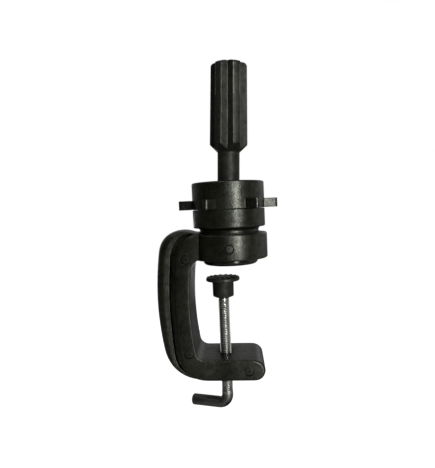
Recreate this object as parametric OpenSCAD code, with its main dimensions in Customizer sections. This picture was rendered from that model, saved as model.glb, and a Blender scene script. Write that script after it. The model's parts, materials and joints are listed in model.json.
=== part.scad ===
// Table-clamp holder with a fluted spigot on a lockable ball joint.
// Origin at the centre of the jaw face that sits on the table top.
// +Z runs up the swivel axis, +X points out of the clamp's mouth, -Y is the front.

/* [Jaw and clamp head] */
// Diameter of the disc that sits on the table
jaw_d = 37.8; // [32:0.2:46]
// Thickness of that disc
jaw_t = 3.9; // [3:0.1:6]
// Rounding of the disc's lower edge
jaw_edge = 2.4; // [0.5:0.1:2.8]
// Diameter of the plug that holds the disc in the head
jaw_plug_d = 22; // [14:0.5:30]
// Height of that plug
jaw_plug_h = 2.2; // [1:0.1:3]
// Diameter of the round clamp head
head_d = 51.6; // [48:0.2:60]
// Height of the clamp head
head_h = 17.4; // [15:0.1:22]
// Rounding of the head's edges
head_edge = 1.2; // [0.3:0.1:2]
// Solid floor between the jaw disc's plug and the stem
head_floor = 1.8; // [1:0.1:4]

/* [Swivel] */
// Diameter of the stem that turns in the head
stem_d = 18; // [14:0.5:24]
// Depth of the groove around the stem
groove_depth = 2.4; // [1.5:0.1:3.5]
// Height of the retaining screw above the head's underside
retainer_rise = 8; // [7:0.1:10]
// Head diameter of the retaining screw
retainer_head_d = 5; // [4:0.1:6]
// Head height of the retaining screw
retainer_head_h = 2.2; // [1.5:0.1:2.5]
// Depth of the recess around that head
retainer_sink = 2.6; // [2.5:0.1:4]
// Open ring around that head, on the radius
retainer_gap = 0.7; // [0.3:0.1:1]
// Shank diameter of the retaining screw
retainer_d = 3.8; // [3:0.1:4]
// Diameter of the smooth tip that runs in the groove
retainer_tip_d = 3.2; // [2:0.1:3.6]
// Diameter of the washer under the socket
washer_d = 41.4; // [36:0.2:46]
// Thickness of that washer
washer_t = 0.75; // [0.5:0.05:1.5]
// Diameter of the socket's neck
neck_d = 40.4; // [34:0.2:44]
// Height of the socket's neck
neck_h = 3.3; // [3:0.1:6]
// Hollow fillet from the neck out to the cup
neck_fillet = 2.4; // [0.5:0.1:2.8]

/* [Ball joint] */
// Diameter of the ball
ball_d = 26; // [23:0.5:28]
// Height cut from the ball's underside
ball_flat = 1.8; // [1:0.1:2.5]
// Height of the ball's centre above the cup's rim
ball_rise = 0.4; // [0:0.1:1.5]
// Wall of the ball seat outside the ball
seat_wall = 5; // [4:0.1:7]
// Wall of the socket outside the seat
socket_wall = 3; // [2:0.1:5]
// Wall of the lock nut outside the socket's thread
nut_wall = 3.8; // [3:0.1:6]
// Height of the socket's cup
cup_h = 12.2; // [11.6:0.1:16]
// Rounding of the cup's lower edge
cup_edge = 1; // [0.3:0.1:2]
// Thickness of the coned disc spring
spring_t = 0.8; // [0.5:0.05:1.2]
// Height of its cone
spring_cone = 0.8; // [0.4:0.05:1.2]
// Height of the pressure ring's top above the ball's centre
ring_rise = 8; // [6.5:0.1:9]
// Greatest tilt of the post to either side
tilt_max = 20; // [12:1:24]
// Angle off square at which the post is set
post_set = 2.5; // [-10:0.5:10]

/* [Lock nut] */
// Height of the lock nut
nut_h = 18.3; // [15:0.1:22]
// Rounding of its top edge
nut_edge = 1.2; // [0.5:0.1:4]
// Number of lugs around its rim
lug_count = 6; // [4:1:8]
// Height of a lug
lug_h = 6.3; // [4:0.1:9]
// Height of a lug's underside above the nut's foot
lug_lift = 0.2; // [0.2:0.1:3]
// Reach of a lug beyond the nut
lug_reach = 9.3; // [6:0.1:14]
// Width of a lug at its root
lug_root_w = 7; // [5:0.1:9]
// Width of a lug at its rounded tip
lug_tip_w = 4.2; // [3:0.1:5]
// Turn of the first lug from +X
lug_turn = 5; // [0:1:60]

/* [Post and spigot] */
// Diameter of the plain post
post_d = 15.2; // [12:0.2:17]
// Length of the post from the nut's top to the spigot
post_len = 20.2; // [16:0.1:40]
// Length of the fluted spigot
spigot_len = 59.2; // [40:0.2:90]
// Diameter of the spigot at its foot
spigot_base_d = 25.8; // [23:0.2:30]
// Diameter of the spigot at its top
spigot_top_d = 24.7; // [22:0.1:30]
// Height of the slanted foot of the spigot
spigot_foot = 5.1; // [3:0.1:8]
// Rounding of the spigot's top edge
spigot_edge = 2; // [0.5:0.1:3]
// Number of flutes
flute_count = 6; // [5:1:7]
// Angle between the two walls of a V flute
flute_angle = 108; // [80:1:115]
// Depth of a flute at the foot
flute_depth = 3.7; // [2:0.1:4.2]
// Turn of the first flute from +X
flute_turn = 26.2; // [0:0.2:60]
// Diameter of the post's stem inside the ball
post_stem_d = 9; // [7:0.1:10]
// Thread diameter of the screw that holds the ball
ball_screw_d = 5; // [4:0.1:5.5]
// Head diameter of that screw
ball_screw_head_d = 8.6; // [7:0.1:9]
// Head height of that screw
ball_screw_head_h = 3.4; // [2:0.1:3.6]
// Depth to which that screw's head is sunk in the ball
ball_screw_sink = 1.2; // [0.5:0.1:2]
// Thickness of the ball between that screw's head and the post's stem
ball_web = 6; // [4:0.1:8]
// Depth of that screw in the post
ball_screw_grip = 18; // [10:0.5:30]

/* [Frame] */
// Depth of the frame from front to back
frame_depth = 40; // [34:0.5:46]
// Angle off square to the jaw at which the spine and arm stand
frame_lean = 2.5; // [0:0.1:4]
// Height of the frame's top above the jaw face
frame_top = 21.4; // [19:0.1:24]
// Height of the top run's underside above the jaw face
frame_under = 4.9; // [4:0.1:8]
// Depth of the mouth at its top, from the swivel axis
mouth_top = 24.6; // [23:0.1:32]
// Depth of the mouth at its foot
mouth_foot = 21.2; // [20:0.1:30]
// Distance from the jaw face down to the arm
arm_drop = 63; // [55:0.1:90]
// Height of the arm
arm_t = 14; // [12:0.1:17]
// Rise of the arm from the spine to its tip
arm_rise = 0.9; // [0:0.1:2]
// Reach of the arm's rounded tip beyond the swivel axis
arm_reach = 25.3; // [18:0.1:35]
// Thickness of the spine at its top
spine_top_t = 11.2; // [9:0.1:15]
// Thickness of the spine at its foot
spine_foot_t = 11.8; // [10:0.1:17]
// Outward bow of the spine's outer side
spine_bow = 1.6; // [0.5:0.1:3]
// Outward bow of the mouth's side
mouth_bow = 1.8; // [0.3:0.1:3]
// Distance from the swivel axis at which the frame's faces end beside the clamp head
face_end = 20.2; // [17:0.1:24]
// Outer corner radius at the top
corner_top = 19; // [12:0.2:20]
// Outer corner radius at the foot
corner_foot = 18.6; // [12:0.2:24]
// Inner corner radius at the top
fillet_top = 8.6; // [4:0.1:10]
// Inner corner radius at the foot
fillet_foot = 6.5; // [3:0.1:10]
// Thickness of the rib along the frame's back
rib_t = 26; // [22:0.5:30]
// Rounding of the rib's edges
rib_round = 8; // [4:0.5:9]
// Width of the groove between the flange and the rib
rib_groove_w = 3.2; // [2:0.1:4]
// Depth of that groove from the rib's side
rib_groove_h = 4; // [2:0.1:5]
// How far the rib stands out from the spine
rib_out = 11.8; // [9:0.1:16]
// How far the rib stands out under the arm's corner
rib_low = 1.8; // [1:0.1:4]
// Outer radius of the rib's top corner
rib_corner_top = 15.4; // [10:0.1:17]
// Outer radius of the rib's foot corner
rib_corner_foot = 24.5; // [21:0.5:30]
// Radius with which the rib runs out under the arm
rib_end = 10; // [9:0.1:12]
// Slant of the rib outwards at its top
rib_flare = 7; // [2:0.5:9]
// Slant of the rib inwards at its foot
rib_tuck = 13; // [10:0.5:22]

/* [Frame screws] */
// Head diameter of a frame screw
screw_head_d = 5.4; // [5:0.1:6.5]
// Head height of a frame screw
screw_head_h = 2.4; // [1.5:0.1:3.5]
// Shank diameter of a frame screw
screw_shank_d = 3; // [2.5:0.1:3.5]
// Open ring around a head, on the radius
screw_gap = 0.5; // [0.2:0.1:0.8]
// Depth to which the heads are sunk
screw_sink = 0.6; // [0.3:0.1:3]
// Wall left behind the screws' points
screw_wall = 4; // [2:0.5:8]
// Place of the upper screw on the frame's face, from the swivel axis
screw_top_x = -28; // [-30:0.5:-26]
// Height of the upper screw
screw_top_z = 4.6; // [-3:0.2:6]
// Distance of the lower screw from the mouth's foot
screw_foot_inset = 4.5; // [4.3:0.1:8]
// Height of the lower screw above the arm's middle
screw_foot_rise = 11.4; // [8:0.2:13]
// Distance of the arm's screw from the arm's tip
screw_arm_inset = 11; // [8:0.2:12]

/* [Clamp screw] */
// Distance of the clamp screw from the swivel axis
clamp_x = -6; // [-8:0.1:0]
// Outside diameter of the clamp screw
clamp_d = 7.9; // [6:0.1:8.4]
// Gap from the jaw face down to the screw's pad
clamp_gap = 9; // [2:0.1:30]
// Length of the rod from the pad's foot to the handle's middle
rod_len = 75.6; // [70:0.5:100]
// Bend radius at the middle of the rod
bend_r = 6.2; // [5:0.1:12]
// Length of the handle from the screw's axis
handle_len = 26.6; // [20:0.5:60]
// Turn of the handle to the back from -X
handle_turn = 17; // [-90:1:90]
// Bevel of the handle's end
handle_bevel = 0.6; // [0.2:0.1:1]
// Diameter of the rod's turned-down tip
tip_d = 6.6; // [5:0.1:7]
// Across flats of the captive nut
clamp_nut_w = 13; // [12:0.1:15]
// Thickness of the captive nut
clamp_nut_t = 6.5; // [5:0.1:8]
// Extra radius of the hole in the arm around the rod
arm_hole_play = 0.8; // [0.4:0.1:1.5]

/* [Pad] */
// Diameter of the pad's flange
pad_flange_d = 23.4; // [18:0.2:26]
// Thickness of the flange
pad_flange_t = 2.3; // [1.5:0.1:4]
// Diameter of the pad's body under the flange
pad_body_d = 15; // [13:0.1:17]
// Diameter of the body at its foot
pad_foot_d = 14.6; // [13:0.1:17]
// Height of the pad without its slanted foot
pad_h = 13.4; // [11:0.1:18]
// Height of the slanted foot
pad_foot_h = 1.5; // [1:0.1:4]
// Thickness of the pad above the rod's tip
pad_roof = 3; // [2:0.1:5]
// Number of grip teeth on the pad
tooth_count = 16; // [8:1:20]
// Height of a grip tooth
tooth_h = 0.5; // [0.3:0.1:1]
// Width of a grip tooth
tooth_w = 1.2; // [0.8:0.1:1.6]
// Diameter of the flat land inside the teeth
land_d = 10; // [6:0.5:12]
// Thickness of the snap ring in the pad
clip_t = 1; // [0.6:0.1:1.5]
// Width of the snap ring's section
clip_w = 1.4; // [1:0.1:1.6]
// Height of the snap ring above the pad's slanted foot
clip_rise = 5; // [3:0.1:6]

/* [Clearances] */
// Running clearance around shafts, on the radius
run = 0.05; // [0.02:0.01:0.1]
// Clearance of loose pieces
loose = 0.2; // [0.15:0.05:0.4]
// Clearance around the tilting post
post_room = 0.8; // [0.6:0.1:1.5]
// Lift of the lock nut when it is slackened
nut_lift = 1; // [0.5:0.1:1.2]

/* [Hidden] */
$fn = 64;
black = "#1c1c1e";
steel = "#b9bcc0";
nylon = "#d8d4c6";
washer_grey = "#8d8f93";
// Overlap of joined solids and run-out of cutters
over = 1;
// Reach of cutters that clear everything
far = 400;
// Radius left at the middle of the rib's bends
rib_core = 0.6;
// Flats around the rib's rounded crest
rib_sides = 11;
// Width of the ball's flat top beyond the post
ball_lip = 0.5;
// Bore of the ball seat, as a share of the ball
seat_bore = 0.65;
// Bore of the coned spring, as a share of the ball
spring_bore = 0.75;
// Start of the pressure ring above the ball's centre, as a share of the ball's radius
ring_start = 0.12;

// Heights along the swivel axis
head_top = jaw_t + head_h;
stem_foot = jaw_t + jaw_plug_h + head_floor + loose;
retainer_z = jaw_t + retainer_rise;
socket_foot = head_top + washer_t + run;
cup_foot = socket_foot + neck_h;
cup_top = cup_foot + cup_h;
ball_z = cup_top + ball_rise;
ball_r = ball_d / 2;
socket_floor = ball_z - ball_r - loose * 3;
seat_foot = socket_floor + spring_t + spring_cone;
ring_top = ball_z + ring_rise;
thread_top = ring_top + loose;
nut_foot = cup_top + loose;
nut_top = nut_foot + nut_h;
nut_lip = ring_top + run;
nut_roof = thread_top + nut_lift + loose;

// Radii around the swivel axis
stem_r = stem_d / 2;
groove_r = stem_r - groove_depth;
seat_r = ball_r + seat_wall;
thread_r = seat_r + socket_wall;
nut_r = thread_r + nut_wall;
lug_tip_r = nut_r + lug_reach;
post_r = post_d / 2;
ball_gap_r = ball_r + run;

// Heights on the post, from the ball's centre
ball_shoulder = sqrt(ball_r * ball_r - pow(post_r + ball_lip, 2));
ball_foot = -ball_r + ball_flat;
ball_screw_seat = ball_foot + ball_screw_head_h + ball_screw_sink;
post_stem_foot = ball_screw_seat + ball_web;
spigot_foot_z = nut_top - ball_z + post_len;
spigot_top_z = spigot_foot_z + spigot_len;

// Heights on the clamp screw
pad_top = -clamp_gap;
pad_face = pad_top - tooth_h;
pad_foot = pad_top - pad_h;
pad_end = pad_foot - pad_foot_h;
tip_top = pad_face - pad_roof;
clip_z = pad_foot + clip_rise;
rod_top = pad_end - run;
rod_r = clamp_d / 2;
tip_r = tip_d / 2;
clip_out_r = tip_r + clip_w / 2;
clip_in_r = clip_out_r - clip_w;
handle_z = pad_end - rod_len;

// Places on the frame before it leans
arm_mid = -arm_drop - arm_t / 2;
arm_under = -arm_drop - arm_t;
spine_foot_x = -mouth_foot - spine_foot_t;
screw_places = [[screw_top_x, screw_top_z],
                [-mouth_foot - screw_foot_inset, arm_mid + screw_foot_rise],
                [arm_reach - screw_arm_inset, arm_mid + arm_rise / 2]];
screw_len = frame_depth - screw_sink - screw_head_h - screw_wall;
arm_nut_z = leaned([clamp_x, arm_mid])[1] + clamp_x * sin(frame_lean);

// Point turned with the frame about the ball's centre
function leaned(p) =
    let (d = p - [0, ball_z])
    [d[0] * cos(frame_lean) + d[1] * sin(frame_lean),
     ball_z + d[1] * cos(frame_lean) - d[0] * sin(frame_lean)];

// Points on an arc about c
function arc(c, r, from, to, n = 10) =
    [for (i = [0:n]) let (a = from + (to - from) * i / n) c + r * [cos(a), sin(a)]];

// Points on a shallow arc from p to q that bulges to the right of the way by sag
function bowed(p, q, sag, n = 10) =
    let (d = q - p, l = norm(d), side = [d[1], -d[0]] / l)
    [for (i = [1:n - 1]) let (t = i / n) p + d * t + side * sag * 4 * t * (1 - t)];

// Clear radius that the tilting post needs at a height above the ball's centre
function tilt_r(h, room) = h * tan(tilt_max) + post_r / cos(tilt_max) + room;

module turned(points) {
    rotate_extrude() polygon(points);
}

module tube(outer, inner, from, to) {
    difference() {
        translate([0, 0, from]) cylinder(r = outer, h = to - from);
        translate([0, 0, from - over]) cylinder(r = inner, h = to - from + 2 * over);
    }
}

// Shape in the X-Z plane, thickened evenly to front and back
module upright(depth) {
    rotate([90, 0, 0]) translate([0, 0, -depth / 2]) linear_extrude(depth) children();
}

// Turns with the frame's lean about the ball's centre
module lean() {
    translate([0, 0, ball_z]) rotate([0, frame_lean, 0]) translate([0, 0, -ball_z]) children();
}

// Frame

// Outer line of the flange from its top to its foot, moved outwards by grow
function flange_back(grow) =
    let (top = [-mouth_top - spine_top_t + corner_top, frame_top - corner_top],
         foot = [spine_foot_x + corner_foot, arm_under + corner_foot],
         top_r = corner_top + grow,
         foot_r = corner_foot + grow)
    concat(arc(top, top_r, 90, 180),
           bowed(top - [top_r, 0], foot - [foot_r, 0], spine_bow),
           arc(foot, foot_r, 180, 270));

module flange_outline() {
    tip = [arm_reach - arm_t / 2, arm_mid + arm_rise];
    foot_in = [-mouth_foot + fillet_foot, -arm_drop + fillet_foot];
    top_in = [-mouth_top + fillet_top, frame_under - fillet_top];
    inner = concat(arc(tip, arm_t / 2, -90, 90),
                   arc(foot_in, fillet_foot, 270, 180),
                   bowed(foot_in - [fillet_foot, 0], top_in - [fillet_top, 0], -mouth_bow),
                   arc(top_in, fillet_top, 180, 90));
    polygon(concat([[-stem_r, frame_top]], flange_back(0), inner, [[-stem_r, frame_under]]));
}

// Ring of points round the rib's rounded section, whose crest is at angle a and radius r about c
function rib_ring(c, r, a, depth) =
    let (half = rib_t / 2,
         crest = [for (i = [0:rib_sides]) let (t = 180 * i / rib_sides - 90)
                      [rib_round * (1 - cos(t)), rib_round * sin(t) + sign(t) * (half - rib_round)]],
         section = concat([[depth, -half]], crest, [[depth, half]]))
    [for (s = section) let (q = r - s[0]) [c[0] + q * cos(a), s[1], c[1] + q * sin(a)]];

// Rings along one bend of the rib, without its first one
function rib_bend(c, r, from, to, n) =
    [for (i = [1:n]) rib_ring(c, r, from + (to - from) * i / n, min(rib_corner_top, r) - rib_core)];

// Skin over a row of rings that have equally many points
module skin(rings) {
    n = len(rings[0]);
    last = len(rings) - 1;
    points = [for (ring = rings) each ring];
    sides = [for (k = [0:last - 1], i = [0:n - 1])
                 let (a = k * n + i, b = k * n + (i + 1) % n) each [[a, a + n, b], [b, a + n, b + n]]];
    ends = [[for (i = [0:n - 1]) i], [for (i = [n - 1:-1:0]) last * n + i]];
    polyhedron(points, concat(sides, ends));
}

module rib() {
    foot = arm_under - rib_low;
    c1 = [-mouth_top - spine_top_t - rib_out + rib_corner_top, frame_top - rib_corner_top];
    p1 = c1 + rib_corner_top * [-cos(rib_flare), sin(rib_flare)];
    drop = p1[1] - (foot + rib_corner_foot * (1 - sin(rib_tuck)));
    long_r = drop / (sin(rib_flare) + sin(rib_tuck));
    c2 = p1 + long_r * [cos(rib_flare), -sin(rib_flare)];
    c3 = c2 + (rib_corner_foot - long_r) * [cos(rib_tuck), sin(rib_tuck)];
    c4 = [c3[0], foot + rib_end];
    start = rib_ring([-stem_r, c1[1]], rib_corner_top, 90, rib_corner_top - rib_core);
    corner = rib_ring(c1, rib_corner_top, 90, rib_corner_top - rib_core);
    skin(concat([start, corner],
                rib_bend(c1, rib_corner_top, 90, 180 - rib_flare, 7),
                rib_bend(c2, long_r, 180 - rib_flare, 180 + rib_tuck, 6),
                rib_bend(c3, rib_corner_foot, 180 + rib_tuck, 270, 8),
                rib_bend(c4, rib_end, 270, 330, 5)));
}

// Grooves along both sides of the rib, next to the flange
module rib_grooves() {
    outside = flange_back(rib_groove_w);
    inside = flange_back(-over);
    for (side = [-1, 1])
        translate([0, side * rib_t / 2, 0]) upright(2 * rib_groove_h)
            polygon(concat(outside, [for (i = [len(inside) - 1:-1:0]) inside[i]]));
}

module head() {
    r = head_d / 2;
    low = arc([r - head_edge, jaw_t + head_edge], head_edge, -90, 0, 4);
    high = arc([r - head_edge, head_top - head_edge], head_edge, 0, 90, 4);
    turned(concat([[0, jaw_t]], low, high, [[0, head_top]]));
}

module stem_bore() {
    translate([0, 0, stem_foot - loose]) cylinder(r = stem_r + run, h = far);
    translate([0, 0, head_top]) cylinder(r = max(washer_d, neck_d) / 2 + loose * 2, h = far);
}

module jaw_recess() {
    translate([0, 0, jaw_t - over]) cylinder(d = jaw_plug_d + 2 * run, h = over + jaw_plug_h + run);
}

// Stands on a point and reaches from front to back
module along_depth(x, y, z) {
    translate([x, y, z]) rotate([-90, 0, 0]) children();
}

module frame_screw_holes() {
    for (p = screw_places)
        let (q = leaned(p))
            along_depth(q[0], -frame_depth / 2, q[1]) {
                translate([0, 0, -over])
                    cylinder(d = screw_head_d + 2 * screw_gap, h = over + screw_sink + screw_head_h);
                cylinder(d = screw_shank_d + 2 * run, h = screw_sink + screw_head_h + screw_len + loose);
            }
}

module retaining_hole() {
    along_depth(0, -head_d / 2, retainer_z) {
        translate([0, 0, -over]) cylinder(d = retainer_head_d + 2 * retainer_gap, h = over + retainer_sink);
        cylinder(d = retainer_d + 2 * run, h = head_d / 2);
    }
}

module arm_openings() {
    translate([clamp_x, 0, -far]) cylinder(r = rod_r + arm_hole_play, h = far - arm_drop / 2);
    translate([clamp_x, 0, arm_nut_z - clamp_nut_t / 2 - run])
        cylinder(r = (clamp_nut_w / 2 + run) / cos(30), h = clamp_nut_t + 2 * run, $fn = 6);
}

// Flange of the C, whose top run ends beside the clamp head
module flange() {
    difference() {
        lean() upright(frame_depth) flange_outline();
        translate([-face_end, -far / 2, 0]) cube(far);
    }
}

module frame_whole() {
    difference() {
        union() {
            head();
            flange();
            lean() difference() {
                rib();
                rib_grooves();
            }
        }
        stem_bore();
        jaw_recess();
        frame_screw_holes();
        arm_openings();
    }
}

module frame_front_half() {
    color(black) difference() {
        frame_whole();
        translate([-far / 2, 0, -far / 2]) cube(far);
        retaining_hole();
    }
}

module frame_back_half() {
    color(black) difference() {
        frame_whole();
        translate([-far / 2, -far, -far / 2]) cube(far);
    }
}

module frame_screws() {
    color(steel) for (p = screw_places)
        let (q = leaned(p))
            along_depth(q[0], screw_sink - frame_depth / 2, q[1]) difference() {
                union() {
                    cylinder(d = screw_head_d, h = screw_head_h);
                    cylinder(d = screw_shank_d, h = screw_head_h + screw_len);
                }
                translate([0, 0, -over]) cylinder(d = screw_shank_d, h = over + screw_head_h / 2, $fn = 6);
            }
}

module retaining_screw() {
    tip_reach = head_d / 2 - groove_r - loose;
    shank_reach = head_d / 2 - stem_r - loose * 2;
    shank_from = retainer_sink - over;
    color(black) along_depth(0, -head_d / 2, retainer_z) {
        translate([0, 0, retainer_sink - retainer_head_h]) cylinder(d = retainer_head_d, h = retainer_head_h);
        translate([0, 0, shank_from]) cylinder(d = retainer_d, h = shank_reach - shank_from);
        translate([0, 0, shank_from]) cylinder(d = retainer_tip_d, h = tip_reach - shank_from);
    }
}

module jaw_pad() {
    edge = arc([jaw_d / 2 - jaw_edge, jaw_edge], jaw_edge, -90, 0, 8);
    color(black) {
        turned(concat([[0, 0]], edge, [[jaw_d / 2, jaw_t], [0, jaw_t]]));
        translate([0, 0, jaw_t / 2]) cylinder(d = jaw_plug_d, h = jaw_t / 2 + jaw_plug_h);
    }
}

// Ball joint

module swivel_socket() {
    neck_r = neck_d / 2;
    groove_half = retainer_tip_d / 2 + loose;
    fillet = arc([neck_r + neck_fillet, cup_foot - neck_fillet], neck_fillet, 180, 90, 6);
    edge = arc([nut_r - cup_edge, cup_foot + cup_edge], cup_edge, -90, 0, 4);
    stem = [[0, stem_foot], [stem_r, stem_foot],
            [stem_r, retainer_z - groove_half], [groove_r, retainer_z - groove_half],
            [groove_r, retainer_z + groove_half], [stem_r, retainer_z + groove_half],
            [stem_r, socket_foot], [neck_r, socket_foot]];
    cup = [[nut_r, cup_top], [thread_r, cup_top], [thread_r, thread_top], [seat_r, thread_top],
           [seat_r, socket_floor], [0, socket_floor]];
    color(black) turned(concat(stem, fillet, edge, cup));
}

module swivel_washer() {
    color(washer_grey) tube(washer_d / 2, stem_r + run, head_top, head_top + washer_t);
}

module ball_space() {
    translate([0, 0, ball_z]) sphere(r = ball_gap_r, $fn = 96);
}

module ball_seat() {
    color(nylon) difference() {
        tube(seat_r - run, ball_r * seat_bore, seat_foot, ball_z - loose);
        ball_space();
    }
}

module seat_spring() {
    inner = ball_r * spring_bore;
    outer = seat_r - loose * 2;
    color(steel) turned([[outer, socket_floor], [outer, socket_floor + spring_t],
                         [inner, seat_foot], [inner, seat_foot - spring_t]]);
}

module pressure_ring() {
    foot = ball_z + ball_r * ring_start;
    cone_h = ring_rise + over;
    color(nylon) difference() {
        translate([0, 0, foot]) cylinder(r = seat_r - run, h = ring_top - foot);
        ball_space();
        translate([0, 0, ball_z])
            cylinder(r1 = tilt_r(0, post_room), r2 = tilt_r(cone_h, post_room), h = cone_h);
    }
}

module lug() {
    tip_r = lug_tip_w / 2;
    root = nut_r - nut_wall / 2;
    tip = arc([lug_tip_r - tip_r, 0], tip_r, -90, 90, 8);
    linear_extrude(lug_h) polygon(concat([[root, -lug_root_w / 2]], tip, [[root, lug_root_w / 2]]));
}

module lock_nut() {
    bore_r = thread_r + run;
    lip_r = seat_r - loose * 2;
    edge = arc([nut_r - nut_edge, nut_top - nut_edge], nut_edge, 0, 90, 8);
    mouth = [[tilt_r(nut_top - ball_z, post_room), nut_top], [tilt_r(nut_lip - ball_z, post_room), nut_lip]];
    inside = [[lip_r, nut_lip], [lip_r, nut_roof], [bore_r, nut_roof], [bore_r, nut_foot]];
    color(black) {
        turned(concat([[nut_r, nut_foot]], edge, mouth, inside));
        for (k = [0:lug_count - 1])
            rotate([0, 0, lug_turn + k * 360 / lug_count]) translate([0, 0, nut_foot + lug_lift]) lug();
    }
}

// Post, in its own frame about the ball's centre

module on_post() {
    translate([0, 0, ball_z]) rotate([0, post_set, 0]) children();
}

module flutes() {
    reach = 2 * flute_depth;
    side = reach * tan(flute_angle / 2);
    for (k = [0:flute_count - 1])
        rotate([0, 0, flute_turn + k * 360 / flute_count])
            translate([spigot_base_d / 2 - flute_depth, 0, spigot_foot_z - over])
                linear_extrude(spigot_len + 2 * over) polygon([[0, 0], [reach, -side], [reach, side]]);
}

module spigot_post() {
    base_r = spigot_base_d / 2;
    top_r = spigot_top_d / 2;
    stem_r = post_stem_d / 2;
    edge = arc([top_r - spigot_edge, spigot_top_z - spigot_edge], spigot_edge, 0, 90, 6);
    foot = [[0, post_stem_foot], [stem_r, post_stem_foot], [stem_r, ball_shoulder], [post_r, ball_shoulder],
            [post_r, spigot_foot_z], [base_r, spigot_foot_z + spigot_foot]];
    color(black) on_post() difference() {
        turned(concat(foot, edge, [[0, spigot_top_z]]));
        flutes();
        translate([0, 0, post_stem_foot - over])
            cylinder(d = ball_screw_d + 2 * run, h = ball_screw_grip + over + loose);
    }
}

module ball() {
    color(nylon) on_post() difference() {
        sphere(r = ball_r, $fn = 96);
        translate([-far / 2, -far / 2, ball_shoulder]) cube(far);
        translate([-far / 2, -far / 2, ball_foot - far]) cube(far);
        translate([0, 0, post_stem_foot - loose]) cylinder(d = post_stem_d + 2 * run, h = far);
        translate([0, 0, -far / 2]) cylinder(d = ball_screw_d + 2 * run, h = far);
        translate([0, 0, ball_screw_seat - far]) cylinder(d = ball_screw_head_d + 2 * loose, h = far);
    }
}

module ball_screw() {
    color(steel) on_post() difference() {
        union() {
            translate([0, 0, ball_screw_seat - ball_screw_head_h])
                cylinder(d = ball_screw_head_d, h = ball_screw_head_h);
            translate([0, 0, ball_screw_seat - over])
                cylinder(d = ball_screw_d, h = post_stem_foot + ball_screw_grip - ball_screw_seat + over);
        }
        translate([0, 0, ball_screw_seat - ball_screw_head_h - over])
            cylinder(d = ball_screw_d, h = over + ball_screw_head_h / 2, $fn = 6);
    }
}

// Clamp screw

module on_clamp() {
    translate([clamp_x, 0, 0]) children();
}

module arm_nut() {
    color(steel) on_clamp() difference() {
        translate([0, 0, arm_nut_z - clamp_nut_t / 2])
            cylinder(r = clamp_nut_w / 2 / cos(30), h = clamp_nut_t, $fn = 6);
        translate([0, 0, arm_nut_z - clamp_nut_t]) cylinder(r = rod_r + run, h = 2 * clamp_nut_t);
    }
}

module clamp_screw() {
    color(steel) on_clamp() rotate([0, 0, 180 - handle_turn]) {
        difference() {
            union() {
                translate([0, 0, handle_z + bend_r]) cylinder(r = rod_r, h = rod_top - handle_z - bend_r);
                translate([0, 0, rod_top - over]) cylinder(r = tip_r, h = tip_top - run - rod_top + over);
            }
            tube(clamp_d, clip_in_r - run, clip_z - clip_t / 2 - run, clip_z + clip_t / 2 + run);
        }
        translate([bend_r, 0, handle_z + bend_r]) rotate([90, 0, 0]) rotate([0, 0, 180])
            rotate_extrude(angle = 90) translate([bend_r, 0]) circle(r = rod_r);
        translate([bend_r, 0, handle_z]) rotate([0, 90, 0]) {
            cylinder(r = rod_r, h = handle_len - bend_r - handle_bevel);
            translate([0, 0, handle_len - bend_r - handle_bevel])
                cylinder(r1 = rod_r, r2 = rod_r - handle_bevel, h = handle_bevel);
        }
    }
}

module screw_pad() {
    flange_r = pad_flange_d / 2;
    tooth_from = land_d / 2 + tooth_w;
    color(black) on_clamp() difference() {
        union() {
            turned([[0, pad_end], [rod_r + loose, pad_end], [pad_foot_d / 2, pad_foot],
                    [pad_body_d / 2, pad_face - pad_flange_t], [flange_r, pad_face - pad_flange_t],
                    [flange_r, pad_face], [0, pad_face]]);
            translate([0, 0, pad_face - over]) cylinder(d = land_d, h = tooth_h + over);
            for (k = [0:tooth_count - 1])
                rotate([0, 0, (k + 0.5) * 360 / tooth_count])
                    translate([tooth_from, -tooth_w / 2, pad_face - over])
                        cube([flange_r - tooth_from - tooth_w / 2, tooth_w, tooth_h + over]);
        }
        translate([0, 0, pad_end - over]) cylinder(r = tip_r + run, h = tip_top - pad_end + over);
        translate([0, 0, clip_z - clip_t / 2 - run]) cylinder(r = clip_out_r + run, h = clip_t + 2 * run);
    }
}

module pad_clip() {
    color(steel) on_clamp() translate([0, 0, clip_z - clip_t / 2])
        rotate_extrude(angle = 320) translate([clip_in_r, 0]) square([clip_w, clip_t]);
}

frame_front_half();
frame_back_half();
frame_screws();
retaining_screw();
jaw_pad();
swivel_socket();
swivel_washer();
ball_seat();
seat_spring();
pressure_ring();
lock_nut();
spigot_post();
ball();
ball_screw();
arm_nut();
clamp_screw();
screw_pad();
pad_clip();
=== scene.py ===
"""Looks of a table-clamp holder: fluted spigot, lock nut, ball socket, C-frame and clamp screw."""

import json
from math import acos, asin, atan2, cos, degrees, hypot, pi, radians, sin, tan

import bmesh
import bpy
from mathutils import Matrix, Vector

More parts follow.
